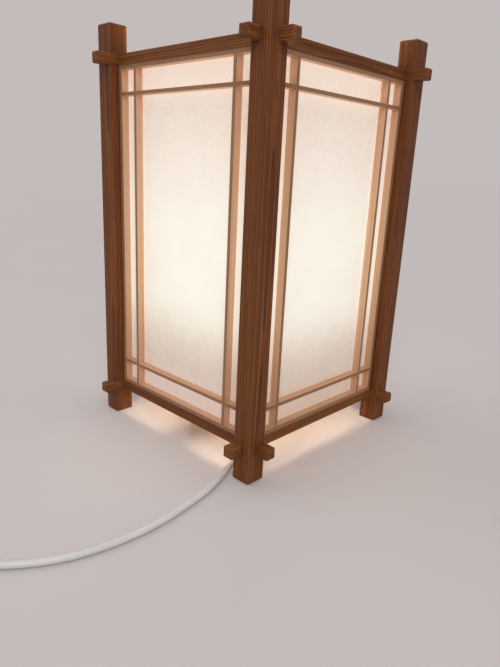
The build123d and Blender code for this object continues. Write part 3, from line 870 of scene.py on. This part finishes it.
def buildScrewRows():
    tree, given, out = geometryGroup(
        "screwRows",
        [
            ("Columns", "NodeSocketInt", 2), ("Column Gap", "NodeSocketFloat", 0.02),
            ("Row Gap", "NodeSocketFloat", 0.2), ("Level", "NodeSocketFloat", 0.0),
            ("Seed", "NodeSocketInt", 1), ("Finish", "NodeSocketMaterial", None),
        ],
    )
    half = math2(tree, "MULTIPLY", given["Column Gap"], -0.5)
    half = math2(tree, "MULTIPLY", half, math2(tree, "SUBTRACT", given["Columns"], 1.0))
    deep = math2(tree, "MULTIPLY", given["Row Gap"], -0.5)
    start = addNode(tree, "ShaderNodeCombineXYZ", X=half, Y=deep, Z=given["Level"]).outputs[0]
    step = addNode(tree, "ShaderNodeCombineXYZ", X=given["Column Gap"]).outputs[0]
    row = addNode(
        tree, "GeometryNodeMeshLine", Count=given["Columns"], Offset=step, **{"Start Location": start}
    )
    lift = addNode(tree, "ShaderNodeCombineXYZ", Y=given["Row Gap"]).outputs[0]
    rows = addNode(tree, "GeometryNodeMeshLine", Count=2, Offset=lift)
    points = addNode(tree, "GeometryNodeInstanceOnPoints", Points=row.outputs[0], Instance=rows.outputs[0])
    points = addNode(tree, "GeometryNodeRealizeInstances", Geometry=points.outputs[0])
    spin = addNode(tree, "FunctionNodeRandomValue", {"data_type": "FLOAT"}, Seed=given["Seed"])
    spin.inputs[3].default_value = screwSet["turnRange"]
    turn = addNode(tree, "ShaderNodeCombineXYZ", Z=spin.outputs[1]).outputs[0]
    placed = addNode(
        tree, "GeometryNodeInstanceOnPoints", Points=points.outputs[0], Instance=given["Geometry"],
        Rotation=turn,
    )
    solid = addNode(tree, "GeometryNodeRealizeInstances", Geometry=placed.outputs[0])
    ended = addNode(tree, "GeometryNodeSetMaterial", Geometry=solid.outputs[0], Material=given["Finish"])
    tree.links.new(ended.outputs[0], out[0])
    return tree


def screwBlank(name, spec, shared):
    # a turned outline, a cross recess in its flat top, and a thread cut into its shank
    outline = [inMetres(point) for point in spec["turned"]]
    shank, low = outline[-2]
    threadTop, pitch, depth = inMetres((spec["threadFrom"], spec["threadPitch"], shared["threadDepth"]))
    rings = outline[:-2] + [(shank, threadTop)]
    steps = int((threadTop - low) / pitch * shared["ringsAPitch"])
    rings += [(shank, threadTop + (low - threadTop) * step / steps) for step in range(1, steps + 1)]
    rings.append(outline[-1])
    work = bmesh.new()
    count = shared["sides"]
    loops = []
    for radius, level in rings:
        loop = []
        for index in range(count):
            angle = 2 * math.pi * index / count
            cut = 0.0
            if low < level < threadTop - 1e-9:
                phase = ((threadTop - level) / pitch + index / count) % 1.0
                cut = depth * (1 - abs(2 * phase - 1))
            reach = radius - cut
            loop.append(work.verts.new((reach * math.cos(angle), reach * math.sin(angle), level)))
        loops.append(loop)
    for upper, lower in zip(loops, loops[1:]):
        for index in range(count):
            following = (index + 1) % count
            work.faces.new((upper[index], lower[index], lower[following], upper[following]))
    work.faces.new(loops[-1])
    arm, half, sink = inMetres((spec["crossArm"], spec["crossHalf"], spec["crossDepth"]))
    rim, top = outline[0]
    arm = min(arm, rim * shared["armLimit"])
    corner = [(arm, -half), (arm, half), (half, half), (half, arm), (-half, arm), (-half, half)]
    corner += [(-x, -y) for x, y in corner]
    cross = [work.verts.new((x, y, top)) for x, y in corner]
    wide, deep = shared["floorShares"]
    floor = [work.verts.new((x * wide, y * deep, top - sink)) for x, y in corner]
    edges = [work.edges.get(pair) for pair in zip(loops[0], loops[0][1:] + loops[0][:1])]
    edges += [work.edges.new(pair) for pair in zip(cross, cross[1:] + cross[:1])]
    bmesh.ops.triangle_fill(work, use_beauty=True, edges=edges, normal=(0, 0, 1))
    for index in range(len(cross)):
        following = (index + 1) % len(cross)
        work.faces.new((cross[index], cross[following], floor[following], floor[index]))
    work.faces.new(floor)
    bmesh.ops.recalc_face_normals(work, faces=work.faces)
    mesh = bpy.data.meshes.new(name)
    work.to_mesh(mesh)
    work.free()
    return linkObject(name, mesh)


screwRows = buildScrewRows()
for kind in ("bar", "holder"):
    spec = screwSet[kind]
    screws = screwBlank(kind + "Screws", spec, screwSet)
    columnGap, rowGap, level = inMetres((spec["columnGap"], spec["rowGap"], spec["level"]))
    applyTree(
        screws, screwRows, Columns=spec["columns"], Column_Gap=columnGap, Row_Gap=rowGap, Level=level,
        Seed=spec["seed"], Finish=finishes["zinc"],
    )
    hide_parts(spec["replaces"])
    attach(screws, "lantern")
print("screws driven")


# grip rings round the lead's tapered sleeves

ringSet = {
    # start and end of each run of rings, the sleeve's radius at each, how many, and their finish and slot
    "runs": {
        "reliefRings": ((27, 0, 58), (44.4, 0, 58), (6.3, 4.36), 7, "lead", "cord_pvc"),
        "plugRings": ((-129, -393.5, 9.5), (-129, -413.6, 9.5), (6.26, 4.35), 8, "plug", "plug_pvc"),
        "switchNearRings": (
            (48.5, -437.13, 9.5), (56.8, -430.9, 9.5), (6.7, 4.85), 5, "switch", "switch_plastic",
        ),
        "switchFarRings": (
            (-4.5, -476.87, 9.5), (-12.8, -483.1, 9.5), (6.7, 4.85), 5, "switch", "switch_plastic",
        ),
    },
    "ringHalf": 0.00055,
    "ringSides": 40,
    "profileSides": 8,
}


def buildSleeveRings():
    tree, given, out = geometryGroup(
        "sleeveRings",
        [
            ("Start", "NodeSocketVector", None), ("End", "NodeSocketVector", None),
            ("Count", "NodeSocketInt", 6), ("First Radius", "NodeSocketFloat", 0.006),
            ("Last Radius", "NodeSocketFloat", 0.004), ("Ring Half", "NodeSocketFloat", 0.0005),
            ("Finish", "NodeSocketMaterial", None),
        ],
    )
    line = addNode(
        tree, "GeometryNodeMeshLine", {"mode": "END_POINTS"},
        Count=given["Count"], **{"Start Location": given["Start"], "Offset": given["End"]},
    )
    index = tree.nodes.new("GeometryNodeInputIndex").outputs[0]
    share = math2(tree, "DIVIDE", index, math2(tree, "SUBTRACT", given["Count"], 1.0))
    span = math2(tree, "SUBTRACT", given["Last Radius"], given["First Radius"])
    size = math2(tree, "MULTIPLY_ADD", share, span, given["First Radius"])
    along = vector2(tree, "SUBTRACT", given["End"], given["Start"])
    aim = addNode(tree, "FunctionNodeAlignRotationToVector", {"axis": "Z"}, Vector=along)
    hoop = addNode(tree, "GeometryNodeCurvePrimitiveCircle", Resolution=ringSet["ringSides"], Radius=1.0)
    thick = math2(tree, "DIVIDE", given["Ring Half"], given["First Radius"])
    section = addNode(
        tree, "GeometryNodeCurvePrimitiveCircle", Resolution=ringSet["profileSides"], Radius=thick
    )
    ring = addNode(
        tree, "GeometryNodeCurveToMesh", Curve=hoop.outputs[0], **{"Profile Curve": section.outputs[0]}
    )
    scale = addNode(tree, "ShaderNodeCombineXYZ", X=size, Y=size, Z=size).outputs[0]
    placed = addNode(
        tree, "GeometryNodeInstanceOnPoints", Points=line.outputs[0], Instance=ring.outputs[0],
        Rotation=aim.outputs[0], Scale=scale,
    )
    solid = addNode(tree, "GeometryNodeRealizeInstances", Geometry=placed.outputs[0])
    smooth = addNode(tree, "GeometryNodeSetShadeSmooth", Geometry=solid.outputs[0])
    ended = addNode(tree, "GeometryNodeSetMaterial", Geometry=smooth.outputs[0], Material=given["Finish"])
    tree.links.new(ended.outputs[0], out[0])
    return tree


sleeveRings = buildSleeveRings()
for name, (start, end, radii, count, finish, slotName) in ringSet["runs"].items():
    rings = meshObject(name, [(0, 0, 0)], [])
    first, last = inMetres(radii)
    applyTree(
        rings, sleeveRings, Start=list(inMetres(start)), End=list(inMetres(end)), Count=count,
        First_Radius=first, Last_Radius=last, Ring_Half=ringSet["ringHalf"], Finish=finishes[finish],
    )
    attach(rings, "lantern")
print("grip rings fitted")


# bulb cap: a rolled thread, a glass collar and the tip contact

capSet = {
    "crest": 13.0, "root": 12.15, "pitch": 3.63, "bottom": 117.5, "coneTop": 122.0, "top": 143.0,
    "tipLevel": 116.0, "tipRadius": 4.5, "coneRadius": 11.0, "sides": 72, "stepsAPitch": 10,
    "tipEase": (0.5, 0.4),  # how far the tip's edge is rounded, in and up
    "coneEase": (0.4, 0.25),
    "runOut": 1.5,  # height over which the thread fades at either end
    "glass": ("capGlass", (0.012, 0.012, 0.014), (0.02, 0.02, 0.022), (0.08, 0.16), 0.002, 0.000005),
}


def makeCap(spec):
    count = spec["sides"]
    tip, cone, base, top = spec["tipRadius"], spec["coneRadius"], spec["coneTop"], spec["top"]
    tipIn, tipUp = spec["tipEase"]
    coneIn, coneDown = spec["coneEase"]
    profile = [
        (0.0, spec["tipLevel"]), (tip - tipIn, spec["tipLevel"]), (tip, spec["tipLevel"] + tipUp),
        (tip, spec["bottom"]), (cone - coneIn, base - coneDown), (cone, base),
    ]
    turned = [[point] * count for point in profile]
    steps = round((top - base) / spec["pitch"] * spec["stepsAPitch"])
    for step in range(steps + 1):
        level = base + (top - base) * step / steps
        blend = min(1.0, (level - base) / spec["runOut"], (top - level) / spec["runOut"])
        ring = []
        for index in range(count):
            wave = 0.5 - 0.5 * math.cos(2 * math.pi * (level / spec["pitch"] - index / count))
            ring.append((spec["root"] + (spec["crest"] - spec["root"]) * wave * max(blend, 0.0), level))
        turned.append(ring)
    turned.append([(0.0, top)] * count)
    verts, faces = [], []
    for ring in turned:
        for index, (radius, level) in enumerate(ring):
            angle = 2 * math.pi * index / count
            verts.append(inMetres((radius * math.cos(angle), radius * math.sin(angle), level)))
    for row in range(len(turned) - 1):
        here, above = row * count, (row + 1) * count
        for index in range(count):
            following = (index + 1) % count
            faces.append((here + index, here + following, above + following, above + index))
    cap = meshObject("bulbCapThread", verts, faces)
    cap.data.materials.append(finishes["nickel"])
    cap.data.materials.append(mouldedMaterial(*spec["glass"]))
    low, high = (value - 1e-5 for value in inMetres((spec["bottom"], base)))
    for face in cap.data.polygons:
        level = sum(cap.data.vertices[index].co.z for index in face.vertices) / len(face.vertices)
        face.material_index = 1 if low < level < high else 0
    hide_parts("bulb_cap")
    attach(cap, "bulb")


makeCap(capSet)
print("bulb cap threaded")


# floor, world and lamps

studioSet = {
    "floorColour": (0.60, 0.55, 0.545),
    "floorShade": 0.985,
    "floorScale": (3, 3, 3),
    "floorStops": (0.3, 0.7),
    "floorGloss": {"Roughness": 0.7, "Specular IOR Level": 0.2},
    "floorReach": 60.0,
    "floorSides": 60,
    "worldColour": (0.546, 0.503, 0.498),
    "worldLight": 0.55,
    "lamps": [  # name, the way it shines from, angle and strength
        ("keyLamp", (1.75, -1.7, 2.4), 0.6, 1.15),
        ("fillLamp", (-2.0, -0.8, 1.8), 0.9, 0.45),
    ],
}


def makeStudio(spec):
    reach, count = spec["floorReach"], spec["floorSides"]
    angles = [2 * math.pi * index / count for index in range(count)]
    verts = [(0, 0, 0)] + [(reach * math.cos(angle), reach * math.sin(angle), 0) for angle in angles]
    faces = [(0, 1 + index, 1 + (index + 1) % count) for index in range(count)]
    floor = meshObject("studioFloor", verts, faces)
    plain = {"Base Color": (*spec["floorColour"], 1), **spec["floorGloss"]}
    material, tree, shader = newMaterial("studioFloorPaint", plain)
    tone = noise(tree, scaled(tree, objectPoint(tree), spec["floorScale"]), detail=3.0)
    shade = [value * spec["floorShade"] for value in spec["floorColour"]]
    low, high = spec["floorStops"]
    colour = ramp(tree, tone, (low, shade), (high, spec["floorColour"]))
    tree.links.new(colour, shader.inputs["Base Color"])
    setMaterial(floor, material)
    world = bpy.data.worlds.new("studioWorld")
    bpy.context.scene.world = world
    world.use_nodes = True
    tree = world.node_tree
    tree.nodes.clear()
    lit = addNode(tree, "ShaderNodeBackground", Color=(1, 1, 1, 1), Strength=spec["worldLight"])
    seen = addNode(tree, "ShaderNodeBackground", Color=(*spec["worldColour"], 1), Strength=1.0)
    path = tree.nodes.new("ShaderNodeLightPath")
    mask = math2(tree, "MAXIMUM", path.outputs["Is Camera Ray"], path.outputs["Is Glossy Ray"])
    mask = math2(tree, "MAXIMUM", mask, path.outputs["Is Transmission Ray"])
    mix = addNode(tree, "ShaderNodeMixShader", i0=mask)
    tree.links.new(lit.outputs[0], mix.inputs[1])
    tree.links.new(seen.outputs[0], mix.inputs[2])
    tree.links.new(mix.outputs[0], tree.nodes.new("ShaderNodeOutputWorld").inputs[0])
    for name, place, width, power in spec["lamps"]:
        data = bpy.data.lights.new(name, "SUN")
        data.angle = width
        data.energy = power
        lamp = linkObject(name, data)
        lamp.rotation_euler = (-Vector(place)).to_track_quat("-Z", "Y").to_euler()


makeStudio(studioSet)
bpy.context.scene.view_settings.view_transform = "Standard"
print("studio lit")

bpy.context.view_layer.update()
